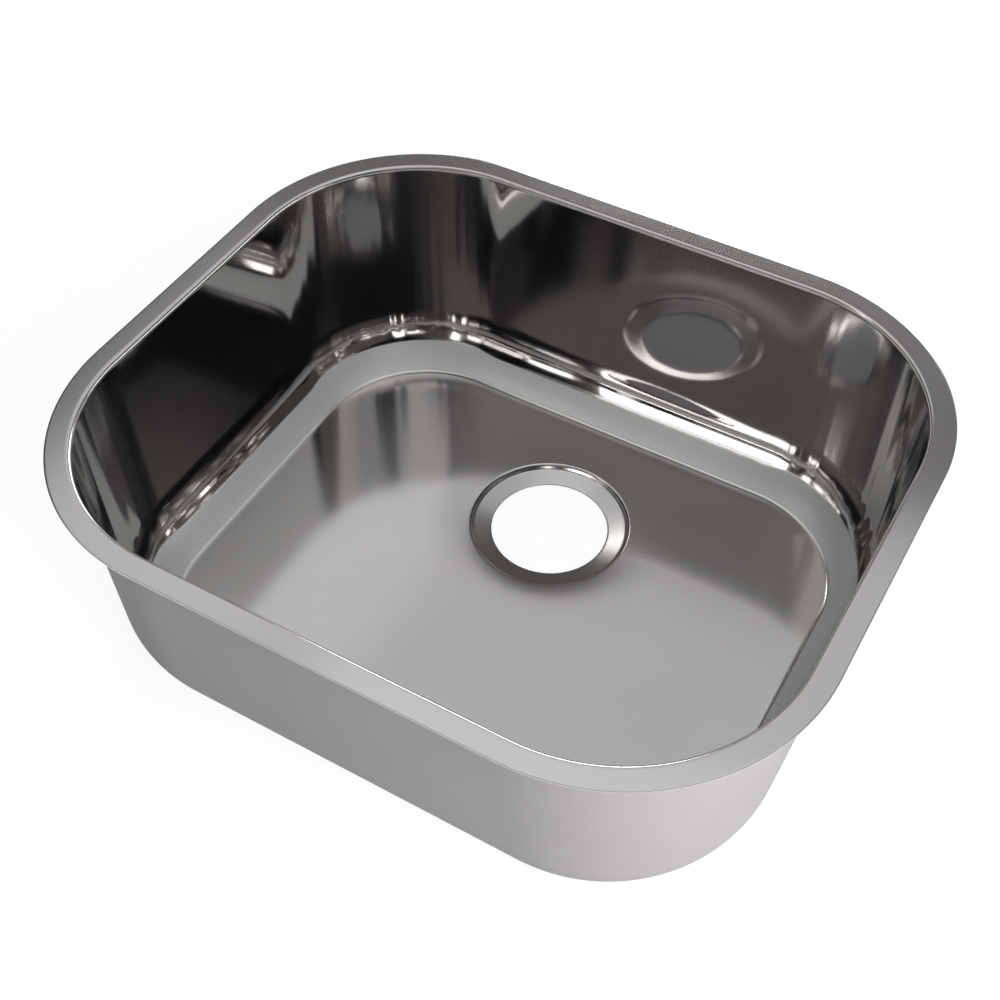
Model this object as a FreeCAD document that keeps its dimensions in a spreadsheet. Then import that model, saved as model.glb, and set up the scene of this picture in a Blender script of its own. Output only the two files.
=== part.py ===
"""Undermount kitchen sink: a deep-drawn stainless steel bowl that hangs under a worktop.

The frame is the sink's own: +X along the long side, +Y towards the back, +Z up. The origin is on
the surface that the sink stands on, under the middle of the rim. Lengths are in millimetres and
angles in degrees.
"""

import FreeCAD
import Part
import Sketcher
import os
from FreeCAD import Vector

# Driving dimensions: what each one measures, and its size.
DIMENSIONS = [
    # Rim: the flat flange that is glued and clipped up against the underside of the worktop.
    ("rim_length", 530.0, "outside of the flange, along X"),
    ("rim_width", 456.0, "outside of the flange, along Y"),
    ("rim_corner", 141.0, "outside corner radius of the flange, seen from above"),
    ("flange_width", 17.0, "from the outside edge of the flange to the line of the bowl wall"),
    ("rim_bend", 3.0, "radius of the turn from the flange down into the wall, on the bowl's inside"),
    # Bowl: one sheet, drawn to depth.
    ("sheet_gauge", 1.0, "thickness of the steel"),
    ("bowl_depth", 180.0, "from the top of the flange down to the flat floor"),
    ("wall_draft", 3.2, "lean of the walls, from upright"),
    ("bottom_radius", 56.0, "large radius that turns the wall in towards the floor"),
    ("crease_slope", 31.0, "slope at which the large radius meets the floor"),
    ("crease_radius", 8.0, "small radius of the crease around the floor"),
    ("floor_lip", 2.0, "strip of flat floor that is drawn together with the walls"),
    # Outlet: a pressed seat for a basket strainer, nearer to the back wall.
    ("outlet_offset", 70.0, "from the middle of the bowl back to the outlet's axis"),
    ("outlet_hole", 89.0, "diameter of the hole in the seat"),
    ("seat_diameter", 115.0, "outside diameter of the conical seat that the strainer's flange lies in"),
    ("seat_fall", 2.7, "fall of the seat from its outside to the hole"),
    ("seat_corner", 1.5, "concave radius at the outside of the seat"),
    ("shoulder_steepness", 60.0, "slope of the short wall between the shoulder and the seat"),
    ("shoulder_radius", 3.0, "convex radius where the floor turns down into the outlet"),
    ("shoulder_drop", 3.3, "from the dished floor, if it ran on, down to the outside of the seat"),
    ("floor_fall", 1.5, "fall of the dished floor from its edge to over the outside of the seat"),
    ("dish_margin", 3.0, "flat floor left between the dish and the crease at the back"),
    # Undercoat: sprayed on the outside against noise and condensation.
    ("coat_thickness", 0.8, "thickness of the sprayed undercoat"),
    ("coat_start", 9.0, "bare steel left below the top of the flange"),
    ("coat_window", 132.0, "diameter of the bare steel left around the outlet"),
    # Rubber pads: glued under the floor. They reach lower than the outlet, so the sink stands level.
    ("standing_gap", 1.3, "gap under the outlet when the sink stands on its pads"),
    ("pad_corner", 12.0, "corner radius of each pad, seen from above"),
    ("pad_round", 1.5, "rounding of each pad's lower edge"),
    ("pad_margin", 16.0, "from the crease around the floor in to a pad"),
    ("pad_spacing", 20.0, "from the dish out to a pad, and from pad to pad"),
    ("side_pad_length", 210.0, "side pads, along Y"),
    # Clips: steel straps that swing out from under the flange and are screwed up into the worktop.
    ("stud_diameter", 5.0, "pin that is welded under the flange for each clip"),
    ("stud_inset", 8.5, "from the outside edge of the flange in to a stud's axis"),
    ("stud_end", 0.9, "stud that stands out below its washer"),
    ("stud_tip", 0.4, "chamfer on the stud's lower end"),
    ("clip_gauge", 2.0, "thickness of a clip"),
    ("clip_width", 12.0, "width of a clip"),
    ("clip_reach", 36.0, "from the stud's axis to the middle of the round end of the clip"),
    ("clip_edge", 0.4, "rounding of the clip's lower edges"),
    ("clip_slot_width", 5.5, "slot for the screw into the worktop"),
    ("clip_slot_length", 12.0, "end to end length of that slot"),
    ("clip_play", 0.15, "clearance above and below a clip"),
    ("pivot_play", 0.08, "clearance around the stud in its clip, measured on the radius"),
    ("washer_diameter", 9.0, "push-on washer that keeps a clip on its stud"),
    ("washer_gauge", 0.7, "thickness of that washer"),
    ("long_side_studs", 75.0, "from the middle of a long side out to each of its studs"),
    ("short_side_studs", 48.0, "from the middle of a short side out to each of its studs"),
]

doc = FreeCAD.newDocument("undermount_sink")
sheet = doc.addObject("Spreadsheet::Sheet", "dims")
for row, (name, size, note) in enumerate(DIMENSIONS, start=1):
    sheet.set("A%d" % row, note)
    sheet.set("B%d" % row, str(size))
    sheet.setAlias("B%d" % row, name)
doc.recompute()

# Sizes that follow from the driving ones, as expressions.
FLOOR = "(standing_gap + sheet_gauge + seat_fall + shoulder_drop + floor_fall)"
PAD_THICKNESS = "(%s - sheet_gauge - coat_thickness)" % FLOOR
RIM_TOP = "(%s + bowl_depth)" % FLOOR
FLANGE_UNDERSIDE = "(%s - sheet_gauge)" % RIM_TOP
OPENING_LENGTH = "(rim_length - 2 * flange_width)"
OPENING_WIDTH = "(rim_width - 2 * flange_width)"
OPENING_CORNER = "(rim_corner - flange_width)"
# The large bottom radius: height of its centre, and that centre's distance in from the wall's line.
TURN_RISE = "(crease_radius * (1 - cos(crease_slope)) + bottom_radius * cos(crease_slope))"
TURN_INSET = "(bottom_radius / cos(wall_draft) + (bowl_depth - %s) * tan(wall_draft))" % TURN_RISE
# Where the floor becomes flat, and where the strip that is drawn with the walls ends.
FLAT_START = "(%s - (bottom_radius - crease_radius) * sin(crease_slope))" % TURN_INSET
LIP_END = "(%s + floor_lip)" % FLAT_START
DISH_RADIUS = "(%s / 2 - %s - dish_margin - outlet_offset)" % (OPENING_WIDTH, FLAT_START)
DISH_SLOPE = "(atan(floor_fall / (%s - seat_diameter / 2)) / 1 deg)" % DISH_RADIUS
SEAT_SLOPE = "(atan(2 * seat_fall / (seat_diameter - outlet_hole)) / 1 deg)"
SEAT_OUTSIDE = "(%s - floor_fall - shoulder_drop)" % FLOOR
CLIP_UNDERSIDE = "(%s - clip_play - clip_gauge)" % FLANGE_UNDERSIDE
WASHER_UNDERSIDE = "(%s - clip_play - washer_gauge)" % CLIP_UNDERSIDE


def on_sheet(expression):
    """The expression with each driving dimension written as the sheet's cell."""
    words = {name for name, _, _ in DIMENSIONS}
    out, word = "", ""
    for letter in expression + " ":
        if letter.isalnum() or letter == "_":
            word += letter
            continue
        out += ("dims." + word if word in words else word) + letter
        word = ""
    return out.strip()


def value(expression):
    """The number that an expression on the driving dimensions comes to."""
    return float(sheet.evalExpression(on_sheet(expression)))


def bind(thing, settings):
    """Ties properties of a feature to the driving dimensions."""
    for path, expression in settings.items():
        thing.setExpression(path, on_sheet(expression))


# ---------------------------------------------------------------- sketches and features


def new_body(label):
    body = doc.addObject("PartDesign::Body", label)
    body.Label = label
    return body


def new_sketch(body, name, role, offsets=None):
    """A sketch on one of the body's own origin planes, shifted along that plane's axes."""
    plane = [feature for feature in body.Origin.OriginFeatures if feature.Role == role][0]
    sketch = body.newObject("Sketcher::SketchObject", body.Name + "_" + name)
    sketch.AttachmentSupport = [(plane, "")]
    sketch.MapMode = "FlatFace"
    bind(sketch, {"AttachmentOffset.Base." + axis: size for axis, size in (offsets or {}).items()})
    return sketch


def line(sketch, start, end):
    return sketch.addGeometry(Part.LineSegment(Vector(*start, 0), Vector(*end, 0)), False)


def radians(degrees):
    return FreeCAD.Units.Quantity(degrees, FreeCAD.Units.Angle).getValueAs("rad").Value


def arc(sketch, centre, radius, from_angle, to_angle):
    """An arc that runs anticlockwise between two angles in degrees."""
    circle = Part.Circle(Vector(*centre, 0), Vector(0, 0, 1), radius)
    return sketch.addGeometry(Part.ArcOfCircle(circle, radians(from_angle), radians(to_angle)), False)


def constrain(sketch, kind, *references):
    sketch.addConstraint(Sketcher.Constraint(kind, *references))


def dimension(sketch, name, kind, references, expression):
    """A dimension in a sketch, tied to the driving dimensions."""
    size = value(expression)
    if kind == "Angle":
        size = radians(size)
    index = sketch.addConstraint(Sketcher.Constraint(kind, *references, size))
    sketch.renameConstraint(index, name)
    bind(sketch, {"Constraints." + name: expression})


def place(sketch, name, geometry, point, x, y):
    """Dimensions that set a point's place from the sketch's origin."""
    dimension(sketch, name + "_x", "DistanceX", (-1, 1, geometry, point), x)
    dimension(sketch, name + "_y", "DistanceY", (-1, 1, geometry, point), y)


def join(sketch, first, second, smooth):
    """Joins two stretches of an outline at the end that they share, smoothly or at a corner."""
    ends = [(i, j) for i in (1, 2) for j in (1, 2)]
    gaps = [sketch.getPoint(first, i).distanceToPoint(sketch.getPoint(second, j)) for i, j in ends]
    i, j = ends[gaps.index(min(gaps))]
    constrain(sketch, "Tangent" if smooth else "Coincident", first, i, second, j)


def join_all(sketch, loop, smooth):
    for first, second in zip(loop, loop[1:]):
        join(sketch, first, second, smooth)


def rounded_rectangle(sketch, length, width, corner):
    """A rounded rectangle about the sketch's origin, starting in the middle of its +X side."""
    x, y, r = value(length) / 2, value(width) / 2, value(corner)
    start = line(sketch, (x, 0), (x, y - r))
    back_right = arc(sketch, (x - r, y - r), r, 0, 90)
    back = line(sketch, (x - r, y), (r - x, y))
    back_left = arc(sketch, (r - x, y - r), r, 90, 180)
    left = line(sketch, (-x, y - r), (-x, r - y))
    front_left = arc(sketch, (r - x, r - y), r, 180, 270)
    front = line(sketch, (r - x, -y), (x - r, -y))
    front_right = arc(sketch, (x - r, r - y), r, 270, 360)
    close = line(sketch, (x, r - y), (x, 0))
    loop = [start, back_right, back, back_left, left, front_left, front, front_right, close]
    join_all(sketch, loop, smooth=True)
    join(sketch, close, start, smooth=False)
    for upright in (start, left, close):
        constrain(sketch, "Vertical", upright)
    for level in (back, front):
        constrain(sketch, "Horizontal", level)
    for other in (back_left, front_left, front_right):
        constrain(sketch, "Equal", back_right, other)
    constrain(sketch, "PointOnObject", start, 1, -1)
    dimension(sketch, "corner", "Radius", (back_right,), corner)
    dimension(sketch, "half_length", "DistanceX", (-1, 1, start, 1), length + " / 2")
    dimension(sketch, "other_half_length", "DistanceX", (left, 1, -1, 1), length + " / 2")
    dimension(sketch, "half_width", "DistanceY", (-1, 1, back, 1), width + " / 2")
    dimension(sketch, "other_half_width", "DistanceY", (front, 1, -1, 1), width + " / 2")


def slot(sketch, start_x, end_x, width):
    """A slot along the sketch's X axis, between the middles of its two round ends."""
    x1, x2, r = value(start_x), value(end_x), value(width) / 2
    near = arc(sketch, (x1, 0), r, 90, 270)
    lower = line(sketch, (x1, -r), (x2, -r))
    far = arc(sketch, (x2, 0), r, 270, 450)
    upper = line(sketch, (x2, r), (x1, r))
    join_all(sketch, [near, lower, far, upper, near], smooth=True)
    name = "slot%d" % near
    dimension(sketch, name + "_radius", "Radius", (near,), width + " / 2")
    dimension(sketch, name + "_end", "DistanceX", (-1, 1, far, 3), end_x)
    constrain(sketch, "Equal", near, far)
    for end in (near, far):
        constrain(sketch, "PointOnObject", end, 3, -1)
    if x1:
        dimension(sketch, name + "_start", "DistanceX", (-1, 1, near, 3), start_x)
    else:
        constrain(sketch, "PointOnObject", near, 3, -2)


def ring(sketch, name, x, y, diameter):
    """A circle in a sketch."""
    centre = Vector(value(x), value(y), 0)
    round_edge = sketch.addGeometry(Part.Circle(centre, Vector(0, 0, 1), value(diameter) / 2), False)
    place(sketch, name, round_edge, 3, x, y)
    dimension(sketch, name + "_radius", "Radius", (round_edge,), diameter + " / 2")


def pad(body, sketch, length):
    feature = body.newObject("PartDesign::Pad", sketch.Name + "_pad")
    feature.Profile = sketch
    bind(feature, {"Length": length})
    doc.recompute()
    return feature


def along_rim(body, section, path):
    """Carries a section round the rounded rectangle of the bowl's opening."""
    feature = body.newObject("PartDesign::AdditivePipe", section.Name + "_drawn")
    feature.Profile = section
    feature.Spine = (path, ["Edge%d" % (i + 1) for i in range(path.GeometryCount)])
    feature.Mode = "Frenet"
    doc.recompute()
    return feature


def round_outlet(body, section):
    """Turns a section about the outlet's axis."""
    feature = body.newObject("PartDesign::Revolution", section.Name + "_turned")
    feature.Profile = section
    feature.ReferenceAxis = (section, ["V_Axis"])
    feature.Angle = 360
    doc.recompute()
    return feature


def face_below(shape):
    """The name of the shape's lowest flat face."""
    heights = [face.BoundBox.ZMax for face in shape.Faces]
    return "Face%d" % (heights.index(min(heights)) + 1)


def dress(body, kind, base, size_name, size):
    """A fillet or chamfer on the edges of the lowest face."""
    feature = body.newObject("PartDesign::" + kind, body.Name + "_edge")
    feature.Base = (base, [face_below(base.Shape)])
    bind(feature, {size_name: size})
    doc.recompute()
    return feature


# ---------------------------------------------------------------- what the bowl and its coat share


def lower_skin(sketch, depth, top):
    """One surface of the wall, bottom radius, crease and floor lip, that far outside the bowl's inside.

    It is drawn at the right-hand wall, from a height on the wall to the end of the floor lip.
    """
    offset, draft, slope = value(depth), value("wall_draft"), value("crease_slope")
    wall_x = value(OPENING_LENGTH) / 2
    turn = (wall_x - value(TURN_INSET), value(FLOOR) + value(TURN_RISE))
    turn_radius = value("bottom_radius") + offset
    crease = (wall_x - value(FLAT_START), value(FLOOR) + value("crease_radius"))
    floor = value(FLOOR) - offset
    along_x, along_z = value("cos(wall_draft)"), -value("sin(wall_draft)")
    foot = (turn[0] + turn_radius * along_x, turn[1] + turn_radius * along_z)
    head = (foot[0] - (top - foot[1]) * along_z / along_x, top)
    wall = line(sketch, head, foot)
    turned = arc(sketch, turn, turn_radius, 270 + slope, 360 - draft)
    creased = arc(sketch, crease, value("crease_radius") + offset, 270, 270 + slope)
    flat = line(sketch, (crease[0], floor), (wall_x - value(LIP_END), floor))
    join_all(sketch, [wall, turned, creased, flat], smooth=True)
    constrain(sketch, "Horizontal", flat)
    return wall, turned, creased, flat


def lower_pair(sketch, inner_depth, outer_depth, inner_top, outer_top):
    """Both surfaces of a drawn layer below the rim, parallel to each other and closed at the lip."""
    inner = lower_skin(sketch, inner_depth, inner_top)
    outer = lower_skin(sketch, outer_depth, outer_top)
    lip_ends = [sketch.getPoint(surface[3], 2) for surface in (inner, outer)]
    end = line(sketch, *[(point.x, point.y) for point in lip_ends])
    join_all(sketch, [inner[3], end, outer[3]], smooth=False)
    constrain(sketch, "Vertical", end)
    constrain(sketch, "Parallel", inner[0], outer[0])
    for index in (1, 2):
        constrain(sketch, "Coincident", inner[index], 3, outer[index], 3)
    dimension(sketch, "bottom", "Radius", (inner[1],), "bottom_radius + " + inner_depth)
    dimension(sketch, "crease", "Radius", (inner[2],), "crease_radius + " + inner_depth)
    dimension(sketch, "slope", "Angle", (inner[2],), "crease_slope")
    dimension(sketch, "draft", "Angle", (inner[0],), "-(90 + wall_draft)")
    from_middle = "%s / 2 - %s"
    turn_x, lip_x = from_middle % (OPENING_LENGTH, TURN_INSET), from_middle % (OPENING_LENGTH, LIP_END)
    dimension(sketch, "turn_place", "DistanceX", (-1, 1, inner[1], 3), turn_x)
    place(sketch, "lip", inner[3], 2, lip_x, "%s - %s" % (FLOOR, inner_depth))
    return inner, outer


def opening_path(body):
    path = new_sketch(body, "opening", "XY_Plane", {"z": RIM_TOP})
    rounded_rectangle(path, OPENING_LENGTH, OPENING_WIDTH, OPENING_CORNER)
    return path


def floor_plate(body, top, gauge):
    """The flat floor between the drawn lip and the dish around the outlet."""
    sketch = new_sketch(body, "floor", "XY_Plane", {"z": "%s - %s" % (top, gauge)})
    inset = "(%s - 2 * " + LIP_END + ")"
    corner = "(%s - %s)" % (OPENING_CORNER, LIP_END)
    rounded_rectangle(sketch, inset % OPENING_LENGTH, inset % OPENING_WIDTH, corner)
    edge = Part.Circle(Vector(0, value("outlet_offset"), 0), Vector(0, 0, 1), value(DISH_RADIUS))
    dish_edge = sketch.addGeometry(edge, False)
    constrain(sketch, "PointOnObject", dish_edge, 3, -2)
    dimension(sketch, "dish_place", "DistanceY", (-1, 1, dish_edge, 3), "outlet_offset")
    dimension(sketch, "dish_radius", "Radius", (dish_edge,), DISH_RADIUS)
    return pad(body, sketch, gauge)


# ---------------------------------------------------------------- bowl


def rim_section(body):
    """Flange, bend, wall, bottom radius and crease, cut through at the right-hand wall."""
    section = new_sketch(body, "section", "XZ_Plane")
    edge_x, rim, gauge = value("rim_length / 2"), value(RIM_TOP), value("sheet_gauge")
    bend, draft = value("rim_bend"), value("wall_draft")
    # The bend's centre lies one radius below the flange's top and one radius outside the wall.
    bend_x = value("%s / 2 + rim_bend / cos(wall_draft) - rim_bend * tan(wall_draft)" % OPENING_LENGTH)
    bend_z = rim - bend
    lean = value("sin(wall_draft)")
    tops = (bend_z + bend * lean, bend_z + (bend - gauge) * lean)
    inner, outer = lower_pair(section, "0", "sheet_gauge", *tops)
    top_bend = arc(section, (bend_x, bend_z), bend, 90, 180 - draft)
    under_bend = arc(section, (bend_x, bend_z), bend - gauge, 90, 180 - draft)
    flange_top = line(section, (bend_x, rim), (edge_x, rim))
    flange_under = line(section, (bend_x, rim - gauge), (edge_x, rim - gauge))
    edge = line(section, (edge_x, rim), (edge_x, rim - gauge))
    join_all(section, [inner[0], top_bend, flange_top], smooth=True)
    join_all(section, [outer[0], under_bend, flange_under], smooth=True)
    join_all(section, [flange_top, edge, flange_under], smooth=False)
    constrain(section, "Coincident", top_bend, 3, under_bend, 3)
    constrain(section, "Horizontal", flange_top)
    constrain(section, "Horizontal", flange_under)
    constrain(section, "Vertical", edge)
    place(section, "rim", edge, 1, "rim_length / 2", RIM_TOP)
    dimension(section, "gauge", "DistanceY", (edge, 2, edge, 1), "sheet_gauge")
    dimension(section, "bend", "Radius", (top_bend,), "rim_bend")
    return section


def outlet_section(body):
    """Dish, shoulder, short steep wall and conical seat, cut through beside the outlet's axis."""
    section = new_sketch(body, "outlet", "XZ_Plane", {"z": "-outlet_offset"})
    dish_x, floor, gauge = value(DISH_RADIUS), value(FLOOR), value("sheet_gauge")
    seat_x, seat_z = value("seat_diameter / 2"), value(SEAT_OUTSIDE)
    hole_x, hole_z = value("outlet_hole / 2"), value("%s - seat_fall" % SEAT_OUTSIDE)
    corner_r, shoulder_r, steep = value("seat_corner"), value("shoulder_radius"), value("shoulder_steepness")
    dish_slope, seat_slope = value(DISH_SLOPE), value(SEAT_SLOPE)

    def on_arc(centre, radius, slope):
        """The point of an arc at which the surface falls towards the outlet with that slope.

        The radius is negative on a convex arc, whose centre lies below the surface.
        """
        spoke = FreeCAD.Rotation(Vector(0, 0, 1), slope).multVec(Vector(0, -radius, 0))
        return centre[0] + spoke.x, centre[1] + spoke.y

    corner = (seat_x, seat_z + corner_r)
    wall_foot = on_arc(corner, corner_r, steep)
    shoulder = (wall_foot[0] + 2 * shoulder_r, floor - shoulder_r)

    def surface(depth):
        """One surface of the outlet, that far below the bowl's inside, before it is constrained."""
        over, under = shoulder_r - depth, corner_r + depth
        dish = line(section, (dish_x, floor - depth), on_arc(shoulder, -over, dish_slope))
        turned_down = arc(section, shoulder, over, 90 + dish_slope, 90 + steep)
        wall = line(section, on_arc(shoulder, -over, steep), on_arc(corner, under, steep))
        turned_in = arc(section, corner, under, 270 + seat_slope, 270 + steep)
        seat = line(section, on_arc(corner, under, seat_slope), (hole_x, hole_z - depth))
        join_all(section, [dish, turned_down, wall, turned_in, seat], smooth=True)
        return dish, turned_down, wall, turned_in, seat

    top, under = surface(0), surface(gauge)
    outside = line(section, (dish_x, floor), (dish_x, floor - gauge))
    hole = line(section, (hole_x, hole_z), (hole_x, hole_z - gauge))
    join_all(section, [top[0], outside, under[0]], smooth=False)
    join_all(section, [top[4], hole, under[4]], smooth=False)
    for upright in (outside, hole):
        constrain(section, "Vertical", upright)
    for index in (1, 3):
        constrain(section, "Coincident", top[index], 3, under[index], 3)
    for index in (0, 2, 4):
        constrain(section, "Parallel", top[index], under[index])
    place(section, "dish", outside, 1, DISH_RADIUS, FLOOR)
    dimension(section, "gauge", "DistanceY", (outside, 2, outside, 1), "sheet_gauge")
    dimension(section, "dish_slope", "Angle", (top[0],), "%s - 180" % DISH_SLOPE)
    dimension(section, "shoulder", "Radius", (top[1],), "shoulder_radius")
    dimension(section, "steepness", "Angle", (top[2],), "shoulder_steepness - 180")
    dimension(section, "corner", "Radius", (top[3],), "seat_corner")
    place(section, "seat", top[4], 1, "seat_diameter / 2", SEAT_OUTSIDE)
    place(section, "hole", hole, 1, "outlet_hole / 2", "%s - seat_fall" % SEAT_OUTSIDE)
    return section


def make_bowl():
    """Flange, walls, floor and outlet seat: one deep-drawn sheet."""
    body = new_body("sink_bowl")
    path = opening_path(body)
    along_rim(body, rim_section(body), path)
    floor_plate(body, FLOOR, "sheet_gauge")
    round_outlet(body, outlet_section(body))
    return body


# ---------------------------------------------------------------- undercoat


def coat_wall_section(body):
    """The coat on the walls, the bottom radius and the crease."""
    section = new_sketch(body, "section", "XZ_Plane")
    top = value("%s - coat_start" % RIM_TOP)
    inner, outer = lower_pair(section, "sheet_gauge", "(sheet_gauge + coat_thickness)", top, top)
    heads = [section.getPoint(surface[0], 1) for surface in (inner, outer)]
    edge = line(section, *[(point.x, point.y) for point in heads])
    join_all(section, [inner[0], edge, outer[0]], smooth=False)
    constrain(section, "Horizontal", edge)
    dimension(section, "start", "DistanceY", (-1, 1, edge, 1), "%s - coat_start" % RIM_TOP)
    dimension(section, "thickness", "Radius", (outer[1],), "bottom_radius + sheet_gauge + coat_thickness")
    return section


def coat_dish_section(body):
    """The coat under the dish, from the dish's edge in to the bare steel around the outlet."""
    section = new_sketch(body, "dish", "XZ_Plane", {"z": "-outlet_offset"})
    outside_x, inside_x = value(DISH_RADIUS), value("coat_window / 2")
    top, coat = value("%s - sheet_gauge" % FLOOR), value("coat_thickness")
    lower = top - value("(%s - coat_window / 2) * tan(%s)" % (DISH_RADIUS, DISH_SLOPE))
    corners = [(outside_x, top), (inside_x, lower), (inside_x, lower - coat), (outside_x, top - coat)]
    against, inside, under, outside = [
        line(section, start, end) for start, end in zip(corners, corners[1:] + corners[:1])
    ]
    join_all(section, [against, inside, under, outside, against], smooth=False)
    constrain(section, "Vertical", inside)
    constrain(section, "Vertical", outside)
    constrain(section, "Parallel", against, under)
    place(section, "dish", against, 1, DISH_RADIUS, "%s - sheet_gauge" % FLOOR)
    dimension(section, "window", "DistanceX", (-1, 1, against, 2), "coat_window / 2")
    dimension(section, "dish_slope", "Angle", (against,), "%s - 180" % DISH_SLOPE)
    dimension(section, "thickness", "DistanceY", (inside, 2, inside, 1), "coat_thickness")
    return section


def make_undercoat():
    """The coat that is sprayed on the outside of the walls and under the floor."""
    body = new_body("undercoat")
    path = opening_path(body)
    along_rim(body, coat_wall_section(body), path)
    floor_plate(body, "(%s - sheet_gauge)" % FLOOR, "coat_thickness")
    round_outlet(body, coat_dish_section(body))
    return body


# ---------------------------------------------------------------- rubber pads


def make_pad(label, middle_x, middle_y, length, width):
    """A thick rubber pad, glued to the undercoat below the floor."""
    body = new_body(label)
    sketch = new_sketch(body, "outline", "XY_Plane", {"x": middle_x, "y": middle_y})
    rounded_rectangle(sketch, length, width, "pad_corner")
    block = pad(body, sketch, PAD_THICKNESS)
    dress(body, "Fillet", block, "Radius", "pad_round")
    return body


def make_pads():
    """Two pads beside the dish and one in front of it, inside the flat floor."""
    edge_x = "(%s / 2 - %s - pad_margin)" % (OPENING_LENGTH, FLAT_START)
    edge_y = "(%s / 2 - %s - pad_margin)" % (OPENING_WIDTH, FLAT_START)
    side_start = "(%s + pad_spacing)" % DISH_RADIUS
    side_middle = "(%s + %s) / 2" % (edge_x, side_start)
    side_width = "(%s - %s)" % (edge_x, side_start)
    front_start = "(%s + pad_spacing - outlet_offset)" % DISH_RADIUS
    front_middle = "-(%s + %s) / 2" % (edge_y, front_start)
    front_width = "(%s - %s)" % (edge_y, front_start)
    return [
        make_pad("left_pad", "-" + side_middle, "0", side_width, "side_pad_length"),
        make_pad("right_pad", side_middle, "0", side_width, "side_pad_length"),
        make_pad("front_pad", "0", front_middle, "(2 * %s)" % DISH_RADIUS, front_width),
    ]


# ---------------------------------------------------------------- studs, clips and washers

LONG_SIDE = "(rim_width / 2 - stud_inset)"
SHORT_SIDE = "(rim_length / 2 - stud_inset)"
# Each clip: where its stud is, and the direction in which it points at rest, in degrees about +Z.
# At rest it lies along the flange and points to the middle of its side.
CLIPS = [
    ("front_left_clip", "-long_side_studs", "-" + LONG_SIDE, 0),
    ("front_right_clip", "long_side_studs", "-" + LONG_SIDE, 180),
    ("back_left_clip", "-long_side_studs", LONG_SIDE, 0),
    ("back_right_clip", "long_side_studs", LONG_SIDE, 180),
    ("left_front_clip", "-" + SHORT_SIDE, "-short_side_studs", 90),
    ("left_back_clip", "-" + SHORT_SIDE, "short_side_studs", 270),
    ("right_front_clip", SHORT_SIDE, "-short_side_studs", 90),
    ("right_back_clip", SHORT_SIDE, "short_side_studs", 270),
]


def make_studs():
    """Plain pins, welded by their ends to the underside of the flange."""
    body = new_body("clip_studs")
    body.AllowCompound = True
    end = "(%s - stud_end)" % WASHER_UNDERSIDE
    sketch = new_sketch(body, "pins", "XY_Plane", {"z": end})
    for name, x, y, _ in CLIPS:
        ring(sketch, name, x, y, "stud_diameter")
    pins = pad(body, sketch, "%s - %s" % (FLANGE_UNDERSIDE, end))
    tips = body.newObject("PartDesign::Chamfer", "stud_tips")
    lowest = pins.Shape.BoundBox.ZMin
    at_end = [edge.BoundBox.ZMax - lowest < pins.Shape.BoundBox.ZLength / 2 for edge in pins.Shape.Edges]
    tips.Base = (pins, ["Edge%d" % (i + 1) for i, low in enumerate(at_end) if low])
    bind(tips, {"Size": "stud_tip"})
    return body


def make_washers():
    """Push-on washers that grip the studs and keep the clips up."""
    body = new_body("stud_washers")
    body.AllowCompound = True
    sketch = new_sketch(body, "rings", "XY_Plane", {"z": WASHER_UNDERSIDE})
    for name, x, y, _ in CLIPS:
        ring(sketch, name, x, y, "washer_diameter")
        ring(sketch, name + "_hole", x, y, "stud_diameter")
    pad(body, sketch, "washer_gauge")
    return body


def make_clip(label, x, y, direction):
    """A flat steel strap with a round hole for its stud and a slot for the screw."""
    body = new_body(label)
    sketch = new_sketch(body, "outline", "XY_Plane")
    slot(sketch, "0", "clip_reach", "clip_width")
    hole = Part.Circle(Vector(0, 0, 0), Vector(0, 0, 1), value("stud_diameter / 2 + pivot_play"))
    pivot = sketch.addGeometry(hole, False)
    constrain(sketch, "Coincident", pivot, 3, -1, 1)
    dimension(sketch, "pivot", "Radius", (pivot,), "stud_diameter / 2 + pivot_play")
    slot(sketch, "(clip_reach - clip_slot_length + clip_slot_width)", "clip_reach", "clip_slot_width")
    strap = pad(body, sketch, "clip_gauge")
    dress(body, "Fillet", strap, "Radius", "clip_edge")
    body.Placement = FreeCAD.Placement(Vector(), FreeCAD.Rotation(Vector(0, 0, 1), direction))
    bind(body, {"Placement.Base.x": x, "Placement.Base.y": y, "Placement.Base.z": CLIP_UNDERSIDE})
    return body


# ---------------------------------------------------------------- build, check and write

pieces = [make_bowl(), make_undercoat()] + make_pads() + [make_studs(), make_washers()]
pieces += [make_clip(*clip) for clip in CLIPS]
doc.recompute()

for item in doc.Objects:
    if "Invalid" in item.State or "Error" in item.State:
        raise RuntimeError("%s failed: %s" % (item.Name, item.State))
for piece in pieces:
    if piece.Shape.isNull() or not piece.Shape.isValid():
        raise RuntimeError("%s has no valid shape" % piece.Label)

os.makedirs("parts", exist_ok=True)
for piece in pieces:
    piece.Shape.exportStep("parts/%s.step" % piece.Label)
    box = piece.Shape.optimalBoundingBox(False)
    print("%-18s %2d solids  %7.1f %7.1f %7.1f  to %7.1f %7.1f %7.1f" % (
        piece.Label, len(piece.Shape.Solids), box.XMin, box.YMin, box.ZMin, box.XMax, box.YMax, box.ZMax))
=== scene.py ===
"""Looks of an undermount kitchen sink, built around its packed construction. Lengths are in metres."""

import math

import bmesh
import bpy
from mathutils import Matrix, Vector, noise


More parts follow.
